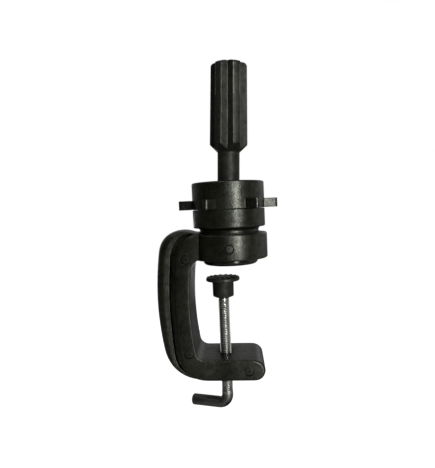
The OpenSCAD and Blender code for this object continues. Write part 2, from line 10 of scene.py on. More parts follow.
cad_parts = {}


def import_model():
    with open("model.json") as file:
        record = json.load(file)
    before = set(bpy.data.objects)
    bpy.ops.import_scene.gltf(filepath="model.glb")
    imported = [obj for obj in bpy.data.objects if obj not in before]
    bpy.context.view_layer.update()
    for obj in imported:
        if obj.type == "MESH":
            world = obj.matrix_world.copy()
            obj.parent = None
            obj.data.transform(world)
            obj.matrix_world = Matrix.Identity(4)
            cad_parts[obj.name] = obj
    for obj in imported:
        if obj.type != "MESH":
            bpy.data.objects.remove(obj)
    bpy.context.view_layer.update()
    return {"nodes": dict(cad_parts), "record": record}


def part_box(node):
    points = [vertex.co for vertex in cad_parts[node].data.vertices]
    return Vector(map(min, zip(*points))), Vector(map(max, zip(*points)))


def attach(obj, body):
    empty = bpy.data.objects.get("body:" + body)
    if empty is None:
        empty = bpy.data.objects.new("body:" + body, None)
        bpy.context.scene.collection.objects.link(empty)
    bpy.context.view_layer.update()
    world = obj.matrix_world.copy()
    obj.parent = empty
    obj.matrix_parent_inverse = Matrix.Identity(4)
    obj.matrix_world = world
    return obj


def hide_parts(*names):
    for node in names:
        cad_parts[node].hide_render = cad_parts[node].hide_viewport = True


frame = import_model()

MM = 0.001


class Span:
    """Corners of a solid in millimetres, with its radius and middle seen from above."""

    def __init__(self, node):
        self.low, self.high = [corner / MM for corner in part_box(node)]
        self.radius = (self.high.y - self.low.y) / 2
        self.x = (self.high.x + self.low.x) / 2


JAW = Span("jaw_pad")
WASHER = Span("swivel_washer")
SOCKET = Span("swivel_socket")
NUT = Span("lock_nut")
SCREW = Span("clamp_screw")
PAD = Span("screw_pad")
RETAINER = Span("retaining_screw")

# General values; lengths are in millimetres and plain angles in degrees unless a comment says otherwise
TINY = 1e-6
WELD = 1e-4
SHARP = 35
GAP = 0.05
CORE_R = 0.3
PIN_CORE_R = 0.2
SHORT_CUT = 5.0
LONG_CUT = 20.0

# Ball joint and socket
BALL_Z = 38.0
BALL_R = 13.0
TILT_MAX = radians(20)
POST_SET = radians(2.5)
POST_ROOM = 0.8
NECK_R = 20.2
NECK_H = 3.35
NECK_EDGE = 0.2
NECK_FILLET = 2.4
CUP_R = SOCKET.radius
CUP_FOOT = WASHER.high.z + NECK_H
CUP_GAP = 0.2
CUP_TOP = NUT.low.z - CUP_GAP
CUP_EDGE = 1.0
RIM_EDGE = 0.3
STEM_R = 9.0
STEM_EDGE = 0.5
STEM_CORE_R = 0.6
SEAT_R = 18.0
SEAT_DROP = 0.6
SEAT_FLOOR = BALL_Z - BALL_R - SEAT_DROP
THREAD_R = 21.0
GROOVE_R = 6.6
GROOVE_HALF = 1.8
WASHER_EDGE = 0.15

# Lock nut; the mouth's edge is given as steps (out, up) from its upper corner
NUT_EDGE = 1.2
NUT_LIP = 46.05
NUT_ROOF = 47.4
NUT_MOUTH = [(0.5, 0.0), (0.1, -0.15), (-0.2, -0.6)]
NUT_SEAT_GAP = 0.4
NUT_SOFT = 0.35
LUG_COUNT = 6
LUG_TURN = radians(5)
LUG_REACH = 34.1
LUG_ROOT_R = THREAD_R + 1.5
LUG_ROOT_W = 7.0
LUG_TIP_W = 4.2
LUG_LIFT = 0.2
LUG_H = 6.3

# Post and spigot, measured from the ball's centre; the shoulder is given as steps (out, up)
POST_R = 7.6
POST_FOOT = 10.4
POST_PIN_R = 4.5
POST_PIN_BORE_R = 2.6
POST_PIN_SPAN = (-4.9, 10.5)
SPIGOT_FOOT = 38.3
SPIGOT_ROUND = 0.8
SPIGOT_BARREL = 43.4
SPIGOT_SHOULDER = [(-0.2, -0.15), (-0.04, 0.4)]
SPIGOT_SHOULDER_H = 1.0
SPIGOT_TOP = 97.5
SPIGOT_BASE_R = 12.9
SPIGOT_TOP_R = 12.35
SPIGOT_EDGE = 2.0
SPIGOT_CAP_R = 5.0
SPIGOT_RIB_STEPS = 8
CONE_STEPS = 20
BARREL_STEPS = 10
FLUTE_COUNT = 6
FLUTE_PITCH = 2 * pi / FLUTE_COUNT
FLUTE_TURN = radians(26.2)
FLUTE_HALF = radians(54)
FLUTE_FLOOR = 9.2
FLUTE_EDGE = 0.5
FLUTE_EDGE_SHARE = 0.2
FLUTE_EDGE_STEPS = 5
FLUTE_FLOOR_STEPS = 4
FLUTE_POINTS = 2 * (FLUTE_EDGE_STEPS + 1) + FLUTE_FLOOR_STEPS + 1

# Lighter lines of the spigot, as angles from a flute's middle: painted highlight along the rib edges and
# in the flute valleys, on the rib edges partly wear
RIB_LINE = (radians(16.8), radians(20.2))
VALLEY_LINE = radians(3)

# Frame before it leans
LEAN = radians(2.5)
HALF_DEPTH = 20.0
FRAME_TOP = 21.9
FRAME_UNDER = 4.9
MOUTH_TOP = -24.6
MOUTH_FOOT = -21.2
MOUTH_BOW = 1.8
SPINE_TOP = -35.8
SPINE_FOOT = -33.0
SPINE_BOW = 1.6
ARM_TOP = -63.0
ARM_UNDER = -77.0
ARM_TIP = 25.3
ARM_RISE = 0.9
CORNER_TOP = 19.0
CORNER_FOOT = 18.6
FILLET_TOP = 8.6
FILLET_FOOT = 6.5
FACE_END = -19.1
FACE_EDGE = 2.0
MOUTH_EDGE = 0.9
MOUTH_SIDE = (3.0, 9.0)
TIP_FADE = (16.0, 22.0)
SEAM = 0.12
SEAM_DEPTH = 0.18
SEAM_EDGE = 0.03
SEAM_LAP = 0.02

# Sloped strip outside the frame's face
STRIP_W = 1.7
STRIP_DROP = 1.3
STRIP_FOOT = 0.3
STRIP_FOOT_IN = 0.1
STRIP_SINK = 0.5
STRIP_GROOVE = 0.3
STRIP_WALL = (0.08, 0.15)
STRIP_LAND = 0.4
STRIP_FADE = 3.0

# Points along both outlines of the frame
HEAD_STEPS = 18
SPINE_STEPS = 26
FOOT_STEPS = 14
ARM_STEPS = 18
TIP_STEPS = 14

# Rib along the frame's back
RIB_HALF = 13.0
RIB_ROUND = 8.0
RIB_ROUND_STEPS = 12
RIB_GROOVE_W = 3.2
RIB_GROOVE_H = 4.0
RIB_GROOVE_FADE = (1.0, 6.0)
RIB_GROOVE_SHARE = 0.4
RIB_EDGE = 0.5
RIB_EDGE_SHARE = 0.3
RIB_LIP_END = 100
RIB_CROWN_W = 4.2
RIB_CROWN = 0.42
RIB_CROWN_SHARE = 0.4
RIB_CROWN_STEPS = 4
RIB_OUT = 11.8
RIB_HIGH = 1.2
RIB_START = [(-19.0, -3.0), (-23.3, -1.2), (-25.2, 0.6), (-27.0, 1.2)]
RIB_LOW = 1.8
RIB_CORNER_TOP = 15.4
RIB_CORNER_FOOT = 24.5
RIB_END = 10.0
RIB_END_TURN = 345
RIB_FLARE = radians(7)
RIB_TUCK = radians(13)
RIB_SHORT_STEPS = 24
RIB_LONG_STEPS = 40

# Clamp head and jaw disc
HEAD_R = 25.8
HEAD_EDGE = 1.2
HEAD_FOOT = 3.9
HEAD_TOP = WASHER.low.z
HEAD_FLOOR = 7.9
HEAD_SPLIT = radians(0.25)
WASHER_ROOM = 0.4
PLUG_R = 11.0
PLUG_TOP = 6.1
JAW_EDGE = 2.4
JAW_BEVEL = 0.2

# Frame screws and retaining screw; a dome is given at shares of its radius
SCREW_PLACES = [(-28.0, 4.6), (-25.7, -58.6), (14.3, -69.55)]
SCREW_HEAD_R = 3.05
SCREW_RECESS_R = 3.2
SCREW_SINK = 0.7
SCREW_HEAD_H = 2.4
SCREW_DOME = 0.1
SHANK_R = 1.5
SHANK_START = 2.0
SHANK_END = 4.0
CROSS_DEPTH = 0.7
CROSS_REACH = 1.4
CROSS_HALF = 0.3
DOME_SHARES = (0.06, 0.35, 0.6, 0.8)
DOME_EDGE = (0.25, 0.3)
RETAINER_HEAD_R = 2.5
RETAINER_Z = RETAINER.low.z + RETAINER_HEAD_R
RETAINER_RECESS_R = 3.2
RETAINER_FACE = 0.4
RETAINER_DOME = 0.2
RETAINER_SINK = 2.6
RETAINER_START = 2.0
RETAINER_SHANK_R = 1.9
RETAINER_STEP = 0.4
RETAINER_PIN_R = 1.6
RETAINER_ROOM = 0.2

# Clamp screw; the thread's shape is its depth over one pitch
CLAMP_X = PAD.x
ROD_R = 3.95
ROD_ROOM = 0.8
ROD_TOP = PAD.low.z - GAP
ROD_TIP_R = 3.3
ROD_TIP_EDGE = (0.5, 1.5)
PLAIN_DROP = 0.03
BEND_R = 6.2
BEND_STEPS = 16
HANDLE_Z = SCREW.low.z + ROD_R
HANDLE_LEN = 26.6
HANDLE_BEVEL = 0.7
HANDLE_TURN = radians(180 - 17)
THREAD_PITCH = 1.25
THREAD_DEPTH = 0.8
THREAD_SHAPE = [1, 1, 0.62, 0.3, 0, 0, 0.3, 0.62]
THREAD_END = -92.0
THREAD_FADE = 2.5
THREAD_SINK = 0.12
THREAD_LAP = 1.5

# Pad; its fillet and its land are given as steps (out, up) from the corners they round
PAD_FACE = PAD.high.z - 0.5
PAD_EDGE = 0.6
PAD_FLANGE_T = 2.3
PAD_BODY_R = 7.5
PAD_FILLET = [(-0.05, -0.8), (0.25, -0.2), (0.8, 0.0)]
PAD_FOOT_R = 7.3
PAD_FOOT_H = 1.5
PAD_FOOT_EDGE = [(-0.3, -0.3), (0.0, 0.2)]
PAD_BORE_R = 3.35
PAD_ROOM = 0.2
PAD_ROOF = 3.0
PAD_SOFT = 0.2
LAND_R = 5.0
LAND_FOOT = [(0.3, 0.0), (0.0, 0.1)]
LAND_EDGE = 0.2
TOOTH_COUNT = 16
TOOTH_W = 1.2
TOOTH_SINK = 0.6

# Brightness of the clamp screw: painted shade in the thread's roots and darker from its bend on, and the
# dull plating there
ROOT_SHADE = 0.2
ROOT_RISE = 0.25
BEND_SHADE = 0.18
BEND_FADE = (-93.0, -86.5)
SHADE_ROUGH = 0.13

# Painted shadow around the clamp screw: a stripe of less gloss on the arm that stands in for the rod's
# shadow and dims its reflection. Share of gloss, half widths between which it fades, and how a distance
# along the arm's depth counts
ROD_SHADOW_SHARE = 0.07
ROD_SHADOW_FADE = (4.0, 12.0)
ROD_SHADOW_DEPTH = 0.4

# Material values
WHITE_GLOSS = (1, 1, 1)
GREEN_GLOSS = (0.96, 1.0, 0.87)
SHINE_SPREAD = 0.4
SPECKLE_GRAIN = 1.1
FINE_GRAIN = 0.6
STEEL_ROUGH = (0.2, 0.38)
SCRATCH_DEPTH = 0.02

# Camera that took the photograph; the picture's long side is in pixels and the clipping in metres
CAMERA_PLACE = (5.934, -310.08, 39.76)
CAMERA_YAW = radians(-2.638)
CAMERA_PITCH = radians(-3.517)
CAMERA_ROLL = radians(-2.482)
CAMERA_CLIP = (0.01, 50)
FOCAL_PIXELS = 447.6
LONG_SIDE = 468
SENSOR = 36.0

# Studio, in metres
FLOOR_Z = -0.4
FLOOR_SIZE = 6.0
FLOOR_TONE = 0.3
FLOOR_ROUGH = 0.9
FLOOR_GLOW = 0.98
ROOM_LIGHT = 0.15
ROOM_GLOSS = 0.02
WALL_GLOSS = 0.3
LAMP_AIM = (0, 0, 0.02)

# Panels of light: name, place, width, height and watts
LAMPS = [
    ("key", (0.61, -1.27, 0.3), 0.3, 1.3, 23),
    ("card", (0.25, -0.5, -0.3), 0.1, 0.1, 0.22),
    ("right", (1.3, 0.3, -0.1), 1.4, 1.0, 1.5),
    ("left", (-0.8, -0.1, 1.2), 0.5, 0.5, 1.0),
    ("top", (-0.2, -0.8, 1.25), 0.9, 0.9, 3.5),
    ("back", (0.8, 1.1, 0.6), 0.9, 0.9, 1.4),
    ("rear", (-0.4, 1.5, -0.2), 0.9, 0.3, 1.8),
]


# Meshes

def ease(value, start, end):
    """A smooth step from 0 to 1."""
    t = min(max((value - start) / (end - start), 0), 1)
    return t * t * (3 - 2 * t)


def arc(centre, radius, start, end, steps):
    """Points on an arc, from start to end in degrees."""
    turns = [radians(start + (end - start) * i / steps) for i in range(steps + 1)]
    return [(centre[0] + radius * cos(a), centre[1] + radius * sin(a)) for a in turns]


def stepped(corner, steps):
    """Points at given steps (out, up) from a corner."""
    return [(corner[0] + out, corner[1] + up) for out, up in steps]


def loft(rings, closed=False):
    """Vertices and faces over a row of closed rings, with end caps unless the row itself closes."""
    n = len(rings[0])
    vertices = [point for ring in rings for point in ring]
    last = len(rings) if closed else len(rings) - 1
    faces = []
    for k in range(last):
        a, b = k * n, ((k + 1) % len(rings)) * n
        faces += [(a + i, a + (i + 1) % n, b + (i + 1) % n, b + i) for i in range(n)]
    if not closed:
        faces += [tuple(range(n)), tuple(range(len(vertices) - n, len(vertices)))]
    return vertices, faces


def lathe(profile, steps=144, start=0.0, sweep=2 * pi):
    """A closed profile of (radius, height) points turned about the Z axis."""
    whole = sweep > 2 * pi - TINY
    count = steps if whole else steps + 1
    turns = [start + sweep * k / steps for k in range(count)]
    return loft([[(r * cos(a), r * sin(a), z) for r, z in profile] for a in turns], closed=whole)


def prism(outline, low, high):
    """An outline of (x, y) points raised from low to high."""
    return loft([[(x, y, z) for x, y in outline] for z in (low, high)])


def block(start, end, half, low, high):
    """A block along the X axis from start to end that reaches half to each side, from low to high."""
    return prism([(start, -half), (end, -half), (end, half), (start, half)], low, high)


def drum(radius, low, high, steps=48):
    """A plain cylinder about the Z axis, for cutting."""
    return prism(arc((0, 0), radius, 0, 360 - 360 / steps, steps - 1), low, high)


def solid(name, parts, place=Matrix.Identity(4), sharp=SHARP):
    """A mesh object from several (vertices, faces) parts in millimetres, set in place and shaded."""
    mesh = bmesh.new()
    for vertices, faces in parts:
        made = [mesh.verts.new(v) for v in vertices]
        for face in faces:
            mesh.faces.new([made[i] for i in face])
    bmesh.ops.remove_doubles(mesh, verts=mesh.verts, dist=WELD)
    bmesh.ops.recalc_face_normals(mesh, faces=mesh.faces)
    mesh.transform(Matrix.Scale(MM, 4) @ place)
    data = bpy.data.meshes.new(name)
    mesh.to_mesh(data)
    mesh.free()
    piece = bpy.data.objects.new(name, data)
    bpy.context.collection.objects.link(piece)
    shade(piece, sharp)
    return piece


def shade(piece, sharp):
    """Smooth shading that breaks at edges sharper than the given angle."""
    piece.data.shade_smooth()
    piece.data.set_sharp_from_angle(angle=radians(sharp))


def carve(piece, cutters, sharp=SHARP):
    """Cut other objects out of a piece for good, and delete them."""
    for cutter in cutters:
        step = piece.modifiers.new("cut", "BOOLEAN")
        step.operation = "DIFFERENCE"
        step.solver = "EXACT"
        step.object = cutter
    graph = bpy.context.evaluated_depsgraph_get()
    cut = bpy.data.meshes.new_from_object(piece.evaluated_get(graph))
    piece.modifiers.clear()
    piece.data = cut
    for cutter in cutters:
        bpy.data.objects.remove(cutter)
    shade(piece, sharp)
    return piece


def join(name, pieces):
    """One object from several that stand in the same frame."""
    mesh = bmesh.new()
    for piece in pieces:
        mesh.from_mesh(piece.data)
        bpy.data.objects.remove(piece)
    data = bpy.data.meshes.new(name)
    mesh.to_mesh(data)
    mesh.free()
    whole = bpy.data.objects.new(name, data)
    bpy.context.collection.objects.link(whole)
    return whole


def soften(piece, width, segments=2, angle=40):
    """Round the sharp edges of a piece by a width in millimetres."""
    step = piece.modifiers.new("edges", "BEVEL")
    step.width = width * MM
    step.segments = segments
    step.limit_method = "ANGLE"
    step.angle_limit = radians(angle)
    step.harden_normals = True
    return piece


def dress(piece, node, body, material):
    """Let a piece stand for a solid: its body and its material, with the solid hidden."""
    piece.data.materials.clear()
    piece.data.materials.append(material)
    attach(piece, body)
    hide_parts(node)
    return piece


# Materials

def link(tree, source, target):
    """Join two sockets."""
    tree.links.new(source, target)


def new_material(name):
    """An empty node material, with its shader and its coordinates in millimetres."""
    material = bpy.data.materials.new(name)
    material.use_nodes = True
    tree = material.node_tree
    shader = tree.nodes["Principled BSDF"]
    place = tree.nodes.new("ShaderNodeTexCoord")
    scale = tree.nodes.new("ShaderNodeVectorMath")
    scale.operation = "SCALE"
    scale.inputs["Scale"].default_value = 1 / MM
    link(tree, place.outputs["Object"], scale.inputs[0])
    return material, tree, shader, scale.outputs["Vector"]


def noise(tree, place, scale, detail=3.0, roughness=0.5, distortion=0.0):
    """Noise whose scale is in cycles per millimetre."""
    node = tree.nodes.new("ShaderNodeTexNoise")
    node.inputs["Scale"].default_value = scale
    node.inputs["Detail"].default_value = detail
    node.inputs["Roughness"].default_value = roughness
    node.inputs["Distortion"].default_value = distortion
    link(tree, place, node.inputs["Vector"])
    return node.outputs["Fac"]


def ramp(tree, value, low, high, start=0.3, end=0.7):
    """A value between start and end mapped to a range."""
    node = tree.nodes.new("ShaderNodeMapRange")
    node.inputs["From Min"].default_value = start
    node.inputs["From Max"].default_value = end
    node.inputs["To Min"].default_value = low
    node.inputs["To Max"].default_value = high
    link(tree, value, node.inputs["Value"])
    return node.outputs["Result"]


def tint(tree, value, dark, light, start=0.3, end=0.75):
    """Colours between two tones, chosen by a value between start and end."""
    node = tree.nodes.new("ShaderNodeValToRGB")
    node.color_ramp.elements[0].position = start
    node.color_ramp.elements[1].position = end
    node.color_ramp.elements[0].color = (*dark, 1)
    node.color_ramp.elements[1].color = (*light, 1)
    link(tree, value, node.inputs["Fac"])
    return node.outputs["Color"]


def combine(tree, operation, first, second):
    """Two values added or multiplied."""
    node = tree.nodes.new("ShaderNodeMath")
    node.operation = operation
    link(tree, first, node.inputs[0])
    link(tree, second, node.inputs[1])
    return node.outputs["Value"]


def choose(tree, switch, off, on):
    """One value where a switch is off and another where it is on; each is a number or a socket."""
    node = tree.nodes.new("ShaderNodeMapRange")
    link(tree, switch, node.inputs["Value"])
    for name, value in (("To Min", off), ("To Max", on)):
        if isinstance(value, float):
            node.inputs[name].default_value = value
        else:
            link(tree, value, node.inputs[name])
    return node.outputs["Result"]


def relief(tree, shader, layers):
    """Chained bumps from (height, depth in millimetres) layers."""
    normal = None
    for height, depth in layers:
        bump = tree.nodes.new("ShaderNodeBump")
        bump.inputs["Strength"].default_value = 1.0
        bump.inputs["Distance"].default_value = depth * MM
        link(tree, height, bump.inputs["Height"])
        if normal:
            link(tree, normal, bump.inputs["Normal"])
        normal = bump.outputs["Normal"]
    link(tree, normal, shader.inputs["Normal"])


def moulded_plastic(name, dark, light, smooth, rough, grain, gloss=GREEN_GLOSS, shine=0.5, dulled=None):
    """Moulded plastic: faint clouding and speckle, uneven gloss of a given tint and a fine grain.

    dulled gives the share of gloss that is left at a place.
    """
    material, tree, shader, place = new_material(name)
    clouds = noise(tree, place, scale=0.05, detail=4.0, roughness=0.6)
    speckle = noise(tree, place, scale=0.7, detail=3.0, roughness=0.7)
    fine = noise(tree, place, scale=1.5, detail=2.0, roughness=0.6)
    waves = noise(tree, place, scale=0.25, detail=2.0)
    tone = combine(tree, "ADD", ramp(tree, clouds, 0.0, 0.5), ramp(tree, speckle, 0.0, 0.5))
    link(tree, tint(tree, tone, dark, light), shader.inputs["Base Color"])
    link(tree, ramp(tree, fine, smooth, rough), shader.inputs["Roughness"])
    shader.inputs["Specular Tint"].default_value = (*gloss, 1)
    level = ramp(tree, waves, shine * (1 - SHINE_SPREAD), shine * (1 + SHINE_SPREAD))
    if dulled:
        level = combine(tree, "MULTIPLY", level, dulled(tree, place))
    link(tree, level, shader.inputs["Specular IOR Level"])
    relief(tree, shader, [(waves, grain), (speckle, grain * SPECKLE_GRAIN), (fine, grain * FINE_GRAIN)])
    return material


def plated_steel(name, dark, light, dimmed=None):
    """Plated steel with soft clouds and fine scratches.

    dimmed gives the share of brightness that is left at a place; the plating is rougher there.
    """
    material, tree, shader, place = new_material(name)
    clouds = noise(tree, place, scale=0.12, detail=4.0, roughness=0.6, distortion=0.4)
    scratches = noise(tree, place, scale=3.0, detail=3.0, roughness=0.7)
    shader.inputs["Metallic"].default_value = 1.0
    colour = tint(tree, clouds, dark, light)
    rough = ramp(tree, scratches, *STEEL_ROUGH)
    if dimmed:
        share = dimmed(tree, place)
        scale = tree.nodes.new("ShaderNodeVectorMath")
        scale.operation = "SCALE"
        link(tree, colour, scale.inputs[0])
        link(tree, share, scale.inputs["Scale"])
        colour = scale.outputs["Vector"]
        rough = combine(tree, "ADD", rough, ramp(tree, share, SHADE_ROUGH, 0.0, BEND_SHADE, 1.0))
    link(tree, colour, shader.inputs["Base Color"])
    link(tree, rough, shader.inputs["Roughness"])
    relief(tree, shader, [(scratches, SCRATCH_DEPTH)])
    return material


def from_rod(tree, place, depth_share=1.0):
    """Distance from the clamp screw's axis in millimetres, with a share of the distance along Y."""
    flat = tree.nodes.new("ShaderNodeVectorMath")
    flat.operation = "MULTIPLY_ADD"
    flat.inputs[1].default_value = (1, depth_share, 0)
    flat.inputs[2].default_value = (-CLAMP_X, 0, 0)
    link(tree, place, flat.inputs[0])
    length = tree.nodes.new("ShaderNodeVectorMath")
    length.operation = "LENGTH"
    link(tree, flat.outputs["Vector"], length.inputs[0])
    return length.outputs["Value"]


def rod_shade(tree, place):
    """Share of brightness on the clamp screw: less in the thread's roots, a painted shade, and from the
    bend on.
    """
    parts = tree.nodes.new("ShaderNodeSeparateXYZ")
    link(tree, place, parts.inputs["Vector"])
    # Painted shade: the thread's roots are darker.
    roots = ramp(tree, from_rod(tree, place), ROOT_SHADE, 1.0, ROD_R - THREAD_DEPTH, ROD_R - ROOT_RISE)
    bent = ramp(tree, parts.outputs["Z"], BEND_SHADE, 1.0, *BEND_FADE)
    return combine(tree, "MULTIPLY", roots, bent)


def painted_rod_shadow(tree, place):
    """Share of gloss on the frame: less around the clamp screw, a painted shadow of the rod that also
    dims its reflection.
    """
    return ramp(tree, from_rod(tree, place, ROD_SHADOW_DEPTH), ROD_SHADOW_SHARE, 1.0, *ROD_SHADOW_FADE)


SATIN = {
    "dark": (0.0018, 0.002, 0.0008),
    "light": (0.0066, 0.0073, 0.0036),
    "smooth": 0.26,
    "rough": 0.38,
    "grain": 0.09,
}
BLACK = moulded_plastic("black_plastic", **SATIN)
# The frame's gloss is lowered around the clamp screw: painted shadow of the rod.
FRAME_BLACK = moulded_plastic("frame_plastic", **SATIN, dulled=painted_rod_shadow)
SPIGOT_BLACK = moulded_plastic(
    "spigot_plastic", (0.0032, 0.0035, 0.0024), (0.009, 0.0096, 0.0074),
    smooth=0.44, rough=0.6, grain=0.1, shine=0.35)
# Lighter plastic for the spigot's painted highlight lines, on the rib edges partly wear
HIGHLIGHT_LINE_BLACK = moulded_plastic(
    "wear_and_highlight_line_plastic", (0.02, 0.0215, 0.017), (0.05, 0.052, 0.045),
    smooth=0.4, rough=0.55, grain=0.1)
WORN_BLACK = moulded_plastic(
    "worn_black_plastic", (0.009, 0.0098, 0.0075), (0.022, 0.0235, 0.019),
    smooth=0.44, rough=0.6, grain=0.1)
PAD_BLACK = moulded_plastic(
    "pad_plastic", (0.003, 0.0033, 0.0024), (0.009, 0.0097, 0.0075),
    smooth=0.4, rough=0.55, grain=0.1)
JAW_BLACK = moulded_plastic(
    "jaw_plastic", (0.002, 0.0022, 0.0015), (0.005, 0.0055, 0.004),
    smooth=0.14, rough=0.22, grain=0.02)
WASHER_BLACK = moulded_plastic(
    "washer_plastic", (0.002, 0.0022, 0.0016), (0.005, 0.0055, 0.004),
    smooth=0.5, rough=0.65, grain=0.03)
NYLON = moulded_plastic(
    "nylon", (0.7, 0.68, 0.61), (0.79, 0.77, 0.7),
    smooth=0.35, rough=0.45, grain=0.01, gloss=WHITE_GLOSS)
ZINC = plated_steel("zinc_steel", (0.52, 0.53, 0.54), (0.68, 0.69, 0.7))
ROD_ZINC = plated_steel("rod_zinc_steel", (0.72, 0.72, 0.68), (0.92, 0.92, 0.88), rod_shade)
DARK_STEEL = plated_steel("dark_steel", (0.035, 0.037, 0.031), (0.08, 0.083, 0.073))


# Post and spigot

def post_frame():
    """Place of the post: about the ball's centre, tilted as it is set."""
    return Matrix.Translation((0, 0, BALL_Z)) @ Matrix.Rotation(POST_SET, 4, "Y")


def flute_section(radius):
    """Outline of one V flute between two ribs of a radius, in its own frame with X pointing out."""
    if radius <= FLUTE_FLOOR:
        return [(radius, 0.0)] * FLUTE_POINTS
    edge = min(FLUTE_EDGE, (radius - FLUTE_FLOOR) * FLUTE_EDGE_SHARE)
    wall = degrees(FLUTE_HALF)
    inner = radius - edge
    apex = FLUTE_FLOOR - edge / sin(FLUTE_HALF)
    turn = FLUTE_HALF - asin(apex / inner * sin(FLUTE_HALF))
    centre = (inner * cos(turn), inner * sin(turn))
    high = arc(centre, edge, wall - 90, degrees(turn), FLUTE_EDGE_STEPS)
    bottom = FLUTE_FLOOR + edge / sin(FLUTE_HALF)
    valley = arc((bottom, 0), edge, 270 - wall, 90 + wall, FLUTE_FLOOR_STEPS)
    low = [(x, -y) for x, y in reversed(high)]
    return low + valley + high


def spigot_ring(radius, height):
    """Section of the spigot at a height: ribs of a radius between the flutes."""
    flute = flute_section(radius)
    edge = atan2(flute[-1][1], flute[-1][0])
    turns = [edge + (FLUTE_PITCH - 2 * edge) * i / SPIGOT_RIB_STEPS for i in range(1, SPIGOT_RIB_STEPS)]
    section = flute + [(radius * cos(a), radius * sin(a)) for a in turns]
    ring = []
    for k in range(FLUTE_COUNT):
        c, s = cos(FLUTE_TURN + k * FLUTE_PITCH), sin(FLUTE_TURN + k * FLUTE_PITCH)
        ring += [(x * c - y * s, x * s + y * c, height) for x, y in section]
    return ring


def spigot_profile():
    """(radius, height) from the ball up to the spigot's top."""
    wider, taller = SPIGOT_BASE_R - POST_R, SPIGOT_BARREL - SPIGOT_FOOT
    slope = degrees(asin(taller / hypot(taller, wider)))
    neck = arc((POST_R + SPIGOT_ROUND, SPIGOT_FOOT - SPIGOT_ROUND / 2), SPIGOT_ROUND, 180, 90 + slope, 4)
    shares = [i / CONE_STEPS for i in range(3, CONE_STEPS - 1)]
    cone = [(POST_R + wider * t, SPIGOT_FOOT + taller * t) for t in shares]
    shoulder = stepped((SPIGOT_BASE_R, SPIGOT_BARREL), SPIGOT_SHOULDER)
    start, end = SPIGOT_BARREL + SPIGOT_SHOULDER_H, SPIGOT_TOP - SPIGOT_EDGE
    shares = [i / BARREL_STEPS for i in range(BARREL_STEPS)]
    taper = SPIGOT_TOP_R - SPIGOT_BASE_R
    barrel = [(SPIGOT_BASE_R + taper * t, start + (end - start) * t) for t in shares]
    top = arc((SPIGOT_TOP_R - SPIGOT_EDGE, end), SPIGOT_EDGE, 0, 90, 8)
    return [(POST_R, POST_FOOT)] + neck + cone + shoulder + barrel + top + [(SPIGOT_CAP_R, SPIGOT_TOP)]


def on_wear_and_highlight_line(centre):
    """Whether a place in the post's frame lies on a rib's edge or in a flute's valley, where a lighter
    plastic paints a highlight.
    """
    if not SPIGOT_BARREL < centre.z < SPIGOT_TOP - SPIGOT_EDGE:
        return False
    turn = atan2(centre.y, centre.x) - FLUTE_TURN
    off = abs((turn + FLUTE_PITCH / 2) % FLUTE_PITCH - FLUTE_PITCH / 2)
    radius = hypot(centre.x, centre.y)
    on_rib = RIB_LINE[0] < off < RIB_LINE[1] and radius > SPIGOT_TOP_R - FLUTE_EDGE
    in_valley = off < VALLEY_LINE and radius < FLUTE_FLOOR + FLUTE_EDGE
    return on_rib or in_valley


def spigot_post():
    """Fluted spigot on its post, with the pin below that the ball sits on."""
    rings = [spigot_ring(radius, height) for radius, height in spigot_profile()]
    foot, top = POST_PIN_SPAN
    pin = [(POST_PIN_BORE_R, foot), (POST_PIN_R, foot), (POST_PIN_R, top), (POST_PIN_BORE_R, top)]
    piece = solid("visual_spigot_post", [loft(rings), lathe(pin, 48)], post_frame(), sharp=50)
    dress(piece, "spigot_post", "post", SPIGOT_BLACK)
    # Rib edges and flute valleys get the lighter plastic: painted highlight, on the rib edges partly
    # wear.
    piece.data.materials.append(HIGHLIGHT_LINE_BLACK)
    into_post = post_frame().inverted()
    for face in piece.data.polygons:
        face.material_index = int(on_wear_and_highlight_line(into_post @ (face.center / MM)))
    return piece


# Lock nut and socket

def clear_radius(height):
    """Room that the tilting post needs at a height above the ball's centre."""
    return height * tan(TILT_MAX) + POST_R / cos(TILT_MAX) + POST_ROOM


def lug_outline():
    """One lug seen from above, from inside the nut's wall to its round tip."""
    tip = arc((LUG_REACH - LUG_TIP_W / 2, 0), LUG_TIP_W / 2, -90, 90, 12)
    return [(LUG_ROOT_R, -LUG_ROOT_W / 2)] + tip + [(LUG_ROOT_R, LUG_ROOT_W / 2)]


def lock_nut():
    """Collar nut with lugs, and a mouth that leaves room for the tilting post."""
    low, high = NUT.low.z, NUT.high.z
    foot = [(THREAD_R + GAP, low), (CUP_R - RIM_EDGE, low), (CUP_R, low + RIM_EDGE)]
    top = arc((CUP_R - NUT_EDGE, high - NUT_EDGE), NUT_EDGE, 0, 90, 8)
    mouth = stepped((clear_radius(high - BALL_Z), high), NUT_MOUTH)
    lip = [(clear_radius(NUT_LIP - BALL_Z), NUT_LIP)]
    seat_r = SEAT_R - NUT_SEAT_GAP
    inside = [(seat_r, NUT_LIP), (seat_r, NUT_ROOF), (THREAD_R + GAP, NUT_ROOF)]
    pieces = [solid("nut_ring", [lathe(foot + top + mouth + lip + inside)])]
    lug = prism(lug_outline(), low + LUG_LIFT, low + LUG_LIFT + LUG_H)
    for k in range(LUG_COUNT):
        turn = Matrix.Rotation(LUG_TURN + 2 * pi * k / LUG_COUNT, 4, "Z")
        pieces.append(solid("lug", [lug], turn))
    piece = soften(join("visual_lock_nut", pieces), NUT_SOFT)
    return dress(piece, "lock_nut", "lock_nut", BLACK)


